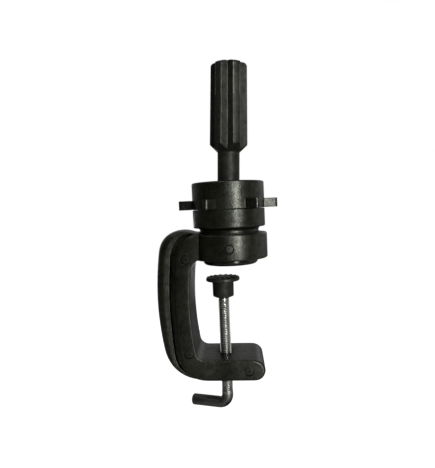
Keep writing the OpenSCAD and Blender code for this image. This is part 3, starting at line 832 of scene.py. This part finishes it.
def swivel_socket():
    """Cup under the nut, with its neck and the grooved stem that turns in the clamp head."""
    low, high = SOCKET.low.z, SOCKET.high.z
    groove_low, groove_high = RETAINER_Z - GROOVE_HALF, RETAINER_Z + GROOVE_HALF
    stem = [(STEM_CORE_R, low), (STEM_R - STEM_EDGE, low), (STEM_R, low + STEM_EDGE)]
    stem += [(STEM_R, groove_low), (GROOVE_R, groove_low), (GROOVE_R, groove_high), (STEM_R, groove_high)]
    neck_low = WASHER.high.z + GAP
    neck = [(STEM_R, neck_low), (NECK_R - NECK_EDGE, neck_low), (NECK_R, neck_low + NECK_EDGE)]
    fillet = arc((NECK_R + NECK_FILLET, CUP_FOOT - NECK_FILLET), NECK_FILLET, 180, 90, 8)
    edge = arc((CUP_R - CUP_EDGE, CUP_FOOT + CUP_EDGE), CUP_EDGE, -90, 0, 6)
    rim = [(CUP_R, CUP_TOP - RIM_EDGE), (CUP_R - RIM_EDGE, CUP_TOP), (THREAD_R, CUP_TOP)]
    inside = [(THREAD_R, high), (SEAT_R, high), (SEAT_R, SEAT_FLOOR), (STEM_CORE_R, SEAT_FLOOR)]
    piece = solid("visual_swivel_socket", [lathe(stem + neck + fillet + edge + rim + inside)])
    return dress(piece, "swivel_socket", "turret", BLACK)


def swivel_washer():
    """Thin ring between the socket's neck and the clamp head."""
    low, high, radius = WASHER.low.z, WASHER.high.z, WASHER.radius
    bore_r = STEM_R + GAP
    profile = [(bore_r, low), (radius - WASHER_EDGE, low), (radius, low + WASHER_EDGE),
               (radius, high - WASHER_EDGE), (radius - WASHER_EDGE, high), (bore_r, high)]
    piece = solid("visual_swivel_washer", [lathe(profile)])
    return dress(piece, "swivel_washer", "frame", WASHER_BLACK)


# Frame

def lean_frame():
    """The frame's lean about the ball's centre."""
    centre = Vector((0, 0, BALL_Z))
    return Matrix.Translation(centre) @ Matrix.Rotation(LEAN, 4, "Y") @ Matrix.Translation(-centre)


def leaned(place):
    """A place (x, z) on the frame, as it leans."""
    p = lean_frame() @ Vector((place[0], 0, place[1]))
    return p.x, p.z


def mix(a, b, t):
    """The point at a share of the way from one point to another."""
    return Vector(a) + (Vector(b) - Vector(a)) * t


def line(start, end, steps, bow=0.0):
    """Points along a line that bows towards -X, without its last point."""
    shares = [i / steps for i in range(steps)]
    return [mix(start, end, t) - Vector((bow * 4 * t * (1 - t), 0)) for t in shares]


def bend(centre, radius, start, end, steps):
    """Points along an arc, without its last point."""
    return [Vector(p) for p in arc(centre, radius, start, end, steps)[:-1]]


def leaving_head(centre, radius):
    """Angle at which a corner's arc passes the plane where the faces end beside the head."""
    return degrees(acos((FACE_END - centre[0]) / radius))


def arm_tip():
    """Centre and radius of the arm's round tip."""
    radius = (ARM_TOP - ARM_UNDER) / 2
    return (ARM_TIP - radius, ARM_TOP + ARM_RISE - radius), radius


def mouth_line():
    """Inner outline of the C, from the clamp head to the arm's tip."""
    top = (MOUTH_TOP + FILLET_TOP, FRAME_UNDER - FILLET_TOP)
    foot = (MOUTH_FOOT + FILLET_FOOT, ARM_TOP + FILLET_FOOT)
    tip, tip_r = arm_tip()
    return (bend(top, FILLET_TOP, leaving_head(top, FILLET_TOP), 180, HEAD_STEPS)
            + line((MOUTH_TOP, top[1]), (MOUTH_FOOT, foot[1]), SPINE_STEPS, MOUTH_BOW)
            + bend(foot, FILLET_FOOT, 180, 270, FOOT_STEPS)
            + line((foot[0], ARM_TOP), (tip[0], ARM_TOP + ARM_RISE), ARM_STEPS)
            + bend(tip, tip_r, 90, 0, TIP_STEPS) + [Vector((ARM_TIP, tip[1]))])


def back_line():
    """Outer outline of the C without its rib, from the clamp head to the arm's tip."""
    top = (SPINE_TOP + CORNER_TOP, FRAME_TOP - CORNER_TOP)
    foot = (SPINE_FOOT + CORNER_FOOT, ARM_UNDER + CORNER_FOOT)
    tip, tip_r = arm_tip()
    return (bend(top, CORNER_TOP, leaving_head(top, CORNER_TOP), 180, HEAD_STEPS)
            + line((SPINE_TOP, top[1]), (SPINE_FOOT, foot[1]), SPINE_STEPS, SPINE_BOW)
            + bend(foot, CORNER_FOOT, 180, 270, FOOT_STEPS)
            + line((foot[0], ARM_UNDER), (tip[0], ARM_UNDER + ARM_RISE), ARM_STEPS)
            + bend(tip, tip_r, -90, 0, TIP_STEPS) + [Vector((ARM_TIP, tip[1]))])


def crest_line():
    """Crest of the rib, from the clamp head to where it runs out under the arm."""
    low = ARM_UNDER - RIB_LOW
    corner = Vector((SPINE_TOP - RIB_OUT + RIB_CORNER_TOP, FRAME_TOP + RIB_HIGH - RIB_CORNER_TOP))
    corner_end = corner + RIB_CORNER_TOP * Vector((-cos(RIB_FLARE), sin(RIB_FLARE)))
    drop = corner_end.y - (low + RIB_CORNER_FOOT * (1 - sin(RIB_TUCK)))
    spine_r = drop / (sin(RIB_FLARE) + sin(RIB_TUCK))
    spine = corner_end + spine_r * Vector((cos(RIB_FLARE), -sin(RIB_FLARE)))
    foot = spine + (RIB_CORNER_FOOT - spine_r) * Vector((cos(RIB_TUCK), sin(RIB_TUCK)))
    end = Vector((foot.x, low + RIB_END))
    flare, tuck = degrees(RIB_FLARE), degrees(RIB_TUCK)
    start = [Vector((x, FRAME_TOP + rise)) for x, rise in RIB_START]
    return (start + bend(corner, RIB_CORNER_TOP, 90, 180 - flare, RIB_SHORT_STEPS)
            + bend(spine, spine_r, 180 - flare, 180 + tuck, RIB_LONG_STEPS)
            + bend(foot, RIB_CORNER_FOOT, 180 + tuck, 270, RIB_LONG_STEPS)
            + bend(end, RIB_END, 270, RIB_END_TURN, RIB_SHORT_STEPS))


def smoothed(points, passes=3):
    """The same points with small kinks evened out; both ends stay."""
    for _ in range(passes):
        inner = [(a + 2 * b + c) / 4 for a, b, c in zip(points, points[1:], points[2:])]
        points = [points[0]] + inner + [points[-1]]
    return points


def normals(points, side):
    """Unit normals along a line, to its left for side 1 and to its right for side -1."""
    ahead = points[1:] + points[-1:]
    behind = points[:1] + points[:-1]
    ways = [(b - a).normalized() for a, b in zip(behind, ahead)]
    return [Vector((-w.y, w.x)) * side for w in ways]


def reach(start, way, path):
    """How far a ray from start runs until it last meets a path; 0 if it misses."""
    best = 0.0
    for a, b in zip(path, path[1:]):
        edge = b - a
        cross = way.x * edge.y - way.y * edge.x
        if abs(cross) < TINY:
            continue
        gap = a - start
        along = (gap.x * edge.y - gap.y * edge.x) / cross
        share = (gap.x * way.y - gap.y * way.x) / cross
        if -TINY <= share <= 1 + TINY and along > best:
            best = along
    return best


def rib_section(height):
    """(outward, sideways) points from the spine's back through the groove and over the crest."""
    share = ease(height, *RIB_GROOVE_FADE)
    wide = min(RIB_GROOVE_W, height * RIB_GROOVE_SHARE)
    edge = min(RIB_EDGE, wide * RIB_EDGE_SHARE)
    near = edge * RIB_EDGE_SHARE
    crown_w = min(RIB_CROWN_W, (height - wide) * RIB_CROWN_SHARE)
    crown = RIB_CROWN * crown_w / RIB_CROWN_W * share
    valley = RIB_HALF - RIB_GROOVE_H * share
    brim = RIB_HALF - crown
    groove = [(0, valley + edge), (near, valley + near), (edge, valley),
              (wide - edge, valley), (wide - near, valley + near), (wide, valley + edge)]
    lip = arc((wide + edge, brim - edge), edge, 180, RIB_LIP_END, 4)
    shares = [i / RIB_CROWN_STEPS for i in range(RIB_CROWN_STEPS)]
    slope = [(wide + edge + (crown_w - edge) * t, brim + crown * t) for t in shares]
    tall = min(RIB_ROUND, height - wide - crown_w)
    turns = [radians(90 * i / RIB_ROUND_STEPS) for i in range(RIB_ROUND_STEPS + 1)]
    corner = [(height - tall + tall * sin(a), RIB_HALF - RIB_ROUND * (1 - cos(a))) for a in turns]
    return groove + lip + slope + corner + [(height, SEAM), (height - SEAM_DEPTH, -SEAM_LAP)]


def round_edge(radius, steps):
    """(inset, depth) points of the face's rounded edge, from the side to the face."""
    turns = [radians(90 * i / steps) for i in range(steps + 1)]
    return [(radius * (1 - cos(a)), HALF_DEPTH - radius * (1 - sin(a))) for a in turns]


def strip_edge():
    """(inset, depth) points over the narrow slope outside the face, with a groove between them."""
    low, high = HALF_DEPTH - STRIP_DROP, HALF_DEPTH - STRIP_SINK
    wall_in, wall_drop = STRIP_WALL
    slope = [(0, low - STRIP_FOOT), (STRIP_FOOT_IN, low), (STRIP_W / 2, (low + high) / 2)]
    groove = [(STRIP_W - STRIP_GROOVE, high), (STRIP_W - STRIP_GROOVE / 2, high - STRIP_GROOVE),
              (STRIP_W, high)]
    face = [(STRIP_W + wall_in, HALF_DEPTH - wall_drop), (STRIP_W + STRIP_LAND, HALF_DEPTH)]
    return slope + groove + face


def outer_edge(height):
    """The strip where the rib stands, fading into a rounded edge where the rib runs out."""
    strip = strip_edge()
    plain = round_edge(FACE_EDGE, len(strip) - 1)
    share = ease(height, 0, STRIP_FADE)
    return [mix(a, b, share) for a, b in zip(plain, strip)]


def frame_ring(inner, into, outer, back, height, side):
    """One section through half the frame: mouth side, front edge, face, back edge, rib, seam."""
    edge = MOUTH_EDGE + (FACE_EDGE - MOUTH_EDGE) * ease(inner.x, *TIP_FADE)
    ring = [(inner + into * SEAM_DEPTH, -SEAM_LAP), (inner + into * SEAM_EDGE, SEAM)]
    ring += [(inner, depth) for depth in MOUTH_SIDE]
    ring += [(inner + into * inset, depth) for inset, depth in round_edge(edge, 6)]
    ring += [(outer + back * inset, depth) for inset, depth in reversed(outer_edge(height))]
    ring += [(outer - back * out, depth) for out, depth in rib_section(height)]
    return [(p.x, side * depth, p.y) for p, depth in ring]


def frame_band(side):
    """Half of the C with its rib, swept from the clamp head to the arm's tip."""
    mouth, back = smoothed(mouth_line()), smoothed(back_line())
    crest = crest_line()
    into, inward = normals(mouth, -1), normals(back, 1)
    into[-1] = inward[-1] = Vector((-1, 0))
    into[0], inward[0] = Vector((0, 1)), Vector((0, -1))
    heights = smoothed([reach(p, -n, crest) for p, n in zip(back, inward)], 2)
    return loft([frame_ring(*station, side) for station in zip(mouth, into, back, inward, heights)])


def head_half(side):
    """Half of the round clamp head, with its bore and the recess for the jaw disc."""
    low = arc((HEAD_R - HEAD_EDGE, HEAD_FOOT + HEAD_EDGE), HEAD_EDGE, -90, 0, 6)
    high = arc((HEAD_R - HEAD_EDGE, HEAD_TOP - HEAD_EDGE), HEAD_EDGE, 0, 90, 6)
    bore_r, plug_top = STEM_R + GAP, PLUG_TOP + GAP
    bore = [(bore_r, HEAD_TOP), (bore_r, HEAD_FLOOR), (CORE_R, HEAD_FLOOR), (CORE_R, plug_top)]
    recess = [(PLUG_R + GAP, plug_top), (PLUG_R + GAP, HEAD_FOOT)]
    start = HEAD_SPLIT if side > 0 else pi + HEAD_SPLIT
    return lathe(low + high + bore + recess, 96, start, pi - 2 * HEAD_SPLIT)


def facing_front(x, z):
    """Place on the front, with a shape's +Z axis pointing to the back."""
    return Matrix.Translation((x, 0, z)) @ Matrix.Rotation(-pi / 2, 4, "X")


def frame_cutters(side):
    """Shapes cut from half of the C: the washer's room, the rod's hole and the screws' recesses."""
    rod_z = leaned((CLAMP_X, (ARM_TOP + ARM_UNDER) / 2))[1]
    rod = Matrix.Translation((CLAMP_X, 0, rod_z))
    cutters = [solid("cut", [drum(WASHER.radius + WASHER_ROOM, HEAD_TOP, HEAD_TOP + LONG_CUT)]),
               solid("cut", [drum(ROD_R + ROD_ROOM, -LONG_CUT, LONG_CUT)], rod)]
    if side < 0:
        recess = drum(SCREW_RECESS_R, -HALF_DEPTH - SHORT_CUT, SCREW_SINK + SCREW_HEAD_H - HALF_DEPTH)
        cutters += [solid("cut", [recess], facing_front(*leaned(place))) for place in SCREW_PLACES]
    return cutters


def frame_half(side, node):
    """The front half for side -1, with the screws' recesses, or the back half for side 1."""
    band = carve(solid("band", [frame_band(side)], lean_frame()), frame_cutters(side), sharp=30)
    head = solid("head", [head_half(side)])
    if side < 0:
        recess = drum(RETAINER_RECESS_R, -HEAD_R - SHORT_CUT, RETAINER_SINK - HEAD_R)
        carve(head, [solid("cut", [recess], facing_front(0, RETAINER_Z))])
    piece = join("visual_" + node, [band, head])
    return dress(piece, node, "frame", FRAME_BLACK)


def domed_head(radius, front, back, dome):
    """Profile of a low round screw head that faces the front."""
    edge_in, edge_h = DOME_EDGE
    top = [(radius * t, front + dome * t * t) for t in DOME_SHARES]
    edge = [(radius - edge_in, front + dome), (radius, front + dome + edge_h)]
    return top + edge + [(radius, back), (radius * DOME_SHARES[0], back)]


def frame_screws():
    """The screws that hold the halves together, each with a cross recess in its sunken head."""
    face = SCREW_SINK - HALF_DEPTH
    head = lathe(domed_head(SCREW_HEAD_R, face, face + SCREW_HEAD_H, SCREW_DOME), 48)
    start, end = face + SHANK_START, HALF_DEPTH - SHANK_END
    shank = lathe([(PIN_CORE_R, start), (SHANK_R, start), (SHANK_R, end), (PIN_CORE_R, end)], 32)
    bars = [block(-a, a, b, -HALF_DEPTH - SHORT_CUT, face + CROSS_DEPTH)
            for a, b in ((CROSS_REACH, CROSS_HALF), (CROSS_HALF, CROSS_REACH))]
    pieces = []
    for place in SCREW_PLACES:
        front = facing_front(*leaned(place))
        cross = [solid("cut", [bar], front) for bar in bars]
        pieces += [carve(solid("screw", [head], front), cross), solid("shank", [shank], front)]
    piece = join("visual_frame_screws", pieces)
    return dress(piece, "frame_screws", "frame", DARK_STEEL)


def retaining_screw():
    """Screw in the front of the clamp head, whose pin runs in the stem's groove."""
    head = domed_head(RETAINER_HEAD_R, RETAINER_FACE - HEAD_R, RETAINER_SINK - HEAD_R, RETAINER_DOME)
    start, step, end = RETAINER_START - HEAD_R, -STEM_R - RETAINER_STEP, -GROOVE_R - RETAINER_ROOM
    pin = [(PIN_CORE_R, start), (RETAINER_SHANK_R, start), (RETAINER_SHANK_R, step),
           (RETAINER_PIN_R, step), (RETAINER_PIN_R, end), (PIN_CORE_R, end)]
    parts = [lathe(head, 64), lathe(pin, 48)]
    piece = solid("visual_retaining_screw", parts, facing_front(0, RETAINER_Z))
    return dress(piece, "retaining_screw", "frame", WORN_BLACK)


def jaw_pad():
    """Rounded disc under the clamp head, with the plug that holds it there."""
    radius = JAW.radius
    low = arc((radius - JAW_EDGE, JAW_EDGE), JAW_EDGE, -90, 0, 10)
    top = [(radius, HEAD_FOOT - JAW_BEVEL), (radius - JAW_BEVEL, HEAD_FOOT)]
    plug = [(PLUG_R, HEAD_FOOT), (PLUG_R, PLUG_TOP), (CORE_R, PLUG_TOP)]
    piece = solid("visual_jaw_pad", [lathe([(CORE_R, 0)] + low + top + plug)])
    return dress(piece, "jaw_pad", "frame", JAW_BLACK)


# Clamp screw and pad

def thread(low, high, columns=40):
    """A helical V thread around the Z axis that fades out at its lower end; its top is open."""
    rows = len(THREAD_SHAPE)
    count = int((high - low) / THREAD_PITCH * rows) - rows
    vertices = []
    for i in range(count + 1):
        fade = ease(i / rows, 0, THREAD_FADE)
        radius = ROD_R - THREAD_SINK * (1 - fade) - THREAD_DEPTH * THREAD_SHAPE[i % rows] * fade
        for j in range(columns):
            turn = 2 * pi * j / columns
            height = low + THREAD_PITCH * (i / rows + j / columns)
            vertices.append((radius * cos(turn), radius * sin(turn), height))

    def number(row, column):
        if column == columns:
            return (row + rows) * columns
        return row * columns + column

    faces = []
    for i in range(count):
        for j in range(columns):
            if j < columns - 1 or i + 1 + rows <= count:
                faces.append((number(i, j), number(i, j + 1), number(i + 1, j + 1), number(i + 1, j)))
    foot = [number(0, j) for j in range(columns)] + [number(i, 0) for i in range(rows, 0, -1)]
    return vertices, faces + [tuple(foot)]


def rod_path():
    """Middle line of the plain rod: down, round the bend and along the handle."""
    down = [Vector((0, 0, THREAD_END + THREAD_LAP - i)) for i in range(3)]
    turns = [radians(90 * i / BEND_STEPS) for i in range(BEND_STEPS + 1)]
    bent = [Vector((BEND_R - BEND_R * cos(a), 0, HANDLE_Z + BEND_R - BEND_R * sin(a))) for a in turns]
    out = [Vector((x, 0, HANDLE_Z)) for x in (HANDLE_LEN / 2, HANDLE_LEN - HANDLE_BEVEL)]
    return down + bent + out


def tube(path, radius, steps=40):
    """A round rod along a path in the X-Z plane, with a bevelled end."""
    rings = []
    ahead = path[1:] + path[-1:]
    behind = path[:1] + path[:-1]
    up = Vector((0, 1, 0))
    turns = [2 * pi * k / steps for k in range(steps)]
    for point, a, b in zip(path, behind, ahead):
        side = (b - a).normalized().cross(up)
        rings.append([point + (side * cos(t) + up * sin(t)) * radius for t in turns])
    end = path[-1] + (path[-1] - path[-2]).normalized() * HANDLE_BEVEL
    rings.append([end + (p - path[-1]) * (1 - HANDLE_BEVEL / radius) for p in rings[-1]])
    return loft(rings)


def clamp_screw():
    """Threaded rod with its turned-down tip above and its bent handle below."""
    place = Matrix.Translation((CLAMP_X, 0, 0)) @ Matrix.Rotation(HANDLE_TURN, 4, "Z")
    edge, edge_h = ROD_TIP_EDGE
    low, high = ROD_TOP - edge_h, SCREW.high.z
    tip = lathe([(PIN_CORE_R, low), (ROD_R - edge, low), (ROD_TIP_R, ROD_TOP), (ROD_TIP_R, high),
                 (PIN_CORE_R, high)], 40)
    parts = [thread(THREAD_END, ROD_TOP), tube(rod_path(), ROD_R - PLAIN_DROP), tip]
    piece = solid("visual_clamp_screw", parts, place, sharp=50)
    return dress(piece, "clamp_screw", "clamp_screw", ROD_ZINC)


def pad_profile():
    """(radius, height) around the pad's section: foot, body, flange, land and bore."""
    low, flange_low = PAD.low.z, PAD_FACE - PAD_FLANGE_T
    foot = [(PAD_BORE_R, low), (ROD_R + PAD_ROOM, low)]
    foot += stepped((PAD_FOOT_R, low + PAD_FOOT_H), PAD_FOOT_EDGE)
    body = stepped((PAD_BODY_R, flange_low), PAD_FILLET)
    rim_r = PAD.radius - PAD_EDGE
    rim = arc((rim_r, flange_low + PAD_EDGE), PAD_EDGE, -90, 0, 5)
    rim += arc((rim_r, PAD_FACE - PAD_EDGE), PAD_EDGE, 0, 90, 5)
    land = stepped((LAND_R, PAD_FACE), LAND_FOOT)
    land += [(LAND_R - LAND_EDGE, PAD.high.z), (CORE_R, PAD.high.z)]
    roof = PAD_FACE - PAD_ROOF
    return foot + body + rim + land + [(CORE_R, roof), (PAD_BORE_R, roof)]


def screw_pad():
    """Flanged cap on the rod, with grip teeth around its land."""
    half = TOOTH_W / 2
    tooth = block(LAND_R + TOOTH_W, PAD.radius - half, half, PAD_FACE - TOOTH_SINK, PAD.high.z)
    place = Matrix.Translation((CLAMP_X, 0, 0))
    pieces = [solid("pad_body", [lathe(pad_profile(), 96)], place)]
    for k in range(TOOTH_COUNT):
        turn = Matrix.Rotation(2 * pi * (k + 0.5) / TOOTH_COUNT, 4, "Z")
        pieces.append(solid("tooth", [tooth], place @ turn))
    piece = soften(join("visual_screw_pad", pieces), PAD_SOFT)
    return dress(piece, "screw_pad", "pad", PAD_BLACK)


# Solids that keep their own shape

def finish_solids():
    """Inner pieces whose solids stay: they get the material of their slot."""
    looks = {"nylon": NYLON, "zinc_steel": ZINC}
    kept = ["ball", "ball_seat", "pressure_ring", "seat_spring", "ball_screw", "arm_nut", "pad_clip"]
    slots = {row["node"]: row["material_slot"] for row in frame["record"]["subparts"]}
    for node in kept:
        data = frame["nodes"][node].data
        data.materials.clear()
        data.materials.append(looks[slots[node]])


# Stage

def camera():
    """The photograph's viewpoint."""
    level = cos(CAMERA_PITCH)
    ahead = Vector((sin(CAMERA_YAW) * level, cos(CAMERA_YAW) * level, sin(CAMERA_PITCH)))
    right = ahead.cross(Vector((0, 0, 1))).normalized()
    up = right.cross(ahead)
    axes = Matrix((right, up, -ahead)).transposed().to_4x4()
    data = bpy.data.cameras.new("camera")
    data.sensor_width = SENSOR
    data.lens = FOCAL_PIXELS * SENSOR / LONG_SIDE
    data.clip_start, data.clip_end = CAMERA_CLIP
    eye = bpy.data.objects.new("camera", data)
    place = Matrix.Translation(Vector(CAMERA_PLACE) * MM)
    eye.matrix_world = place @ axes @ Matrix.Rotation(CAMERA_ROLL, 4, "Z")
    bpy.context.collection.objects.link(eye)
    bpy.context.scene.camera = eye


def softbox(name, place, width, height, power):
    """A soft panel of light that points at the clamp."""
    data = bpy.data.lights.new(name, "AREA")
    data.shape = "RECTANGLE"
    data.size = width
    data.size_y = height
    data.energy = power
    lamp = bpy.data.objects.new(name, data)
    lamp.location = place
    lamp.visible_camera = False
    lamp.rotation_mode = "QUATERNION"
    lamp.rotation_quaternion = (Vector(LAMP_AIM) - Vector(place)).to_track_quat("-Z", "Y")
    bpy.context.collection.objects.link(lamp)


def lights():
    """A tall soft window in front on the right, a low card under it, and weak panels around."""
    for lamp in LAMPS:
        softbox(*lamp)


def world():
    """White to the eye from any side; to reflections a pale wall behind and a dim room in front."""
    made = bpy.data.worlds.new("studio")
    made.use_nodes = True
    bpy.context.scene.world = made
    tree = made.node_tree
    background = tree.nodes["Background"]
    background.inputs["Color"].default_value = (1, 1, 1, 1)
    path = tree.nodes.new("ShaderNodeLightPath")
    way = tree.nodes.new("ShaderNodeTexCoord")
    parts = tree.nodes.new("ShaderNodeSeparateXYZ")
    link(tree, way.outputs["Generated"], parts.inputs["Vector"])
    wall = ramp(tree, parts.outputs["Y"], ROOM_GLOSS, WALL_GLOSS, 0.0, 1.0)
    lit = choose(tree, path.outputs["Is Glossy Ray"], ROOM_LIGHT, wall)
    seen = choose(tree, path.outputs["Is Transmission Ray"], lit, 1.0)
    shown = choose(tree, path.outputs["Is Camera Ray"], seen, 1.0)
    link(tree, shown, background.inputs["Strength"])


def floor():
    """A pale floor well below the clamp; the eye sees it nearly white."""
    half = FLOOR_SIZE / 2
    corners = [(-half, -half), (half, -half), (half, half), (-half, half)]
    mesh = bpy.data.meshes.new("floor")
    mesh.from_pydata([(x, y, FLOOR_Z) for x, y in corners], [], [(0, 1, 2, 3)])
    plane = bpy.data.objects.new("floor", mesh)
    bpy.context.collection.objects.link(plane)
    material = bpy.data.materials.new("floor")
    material.use_nodes = True
    tree = material.node_tree
    shader = tree.nodes["Principled BSDF"]
    shader.inputs["Base Color"].default_value = (FLOOR_TONE, FLOOR_TONE, FLOOR_TONE, 1)
    shader.inputs["Roughness"].default_value = FLOOR_ROUGH
    shader.inputs["Emission Color"].default_value = (1, 1, 1, 1)
    path = tree.nodes.new("ShaderNodeLightPath")
    glow = choose(tree, path.outputs["Is Camera Ray"], 0.0, FLOOR_GLOW)
    link(tree, glow, shader.inputs["Emission Strength"])
    mesh.materials.append(material)


camera()
world()
floor()
lights()
spigot_post()
lock_nut()
swivel_socket()
swivel_washer()
frame_half(-1, "frame_front_half")
frame_half(1, "frame_back_half")
frame_screws()
retaining_screw()
jaw_pad()
clamp_screw()
screw_pad()
finish_solids()
bpy.context.scene.view_settings.view_transform = "Standard"
bpy.context.view_layer.update()
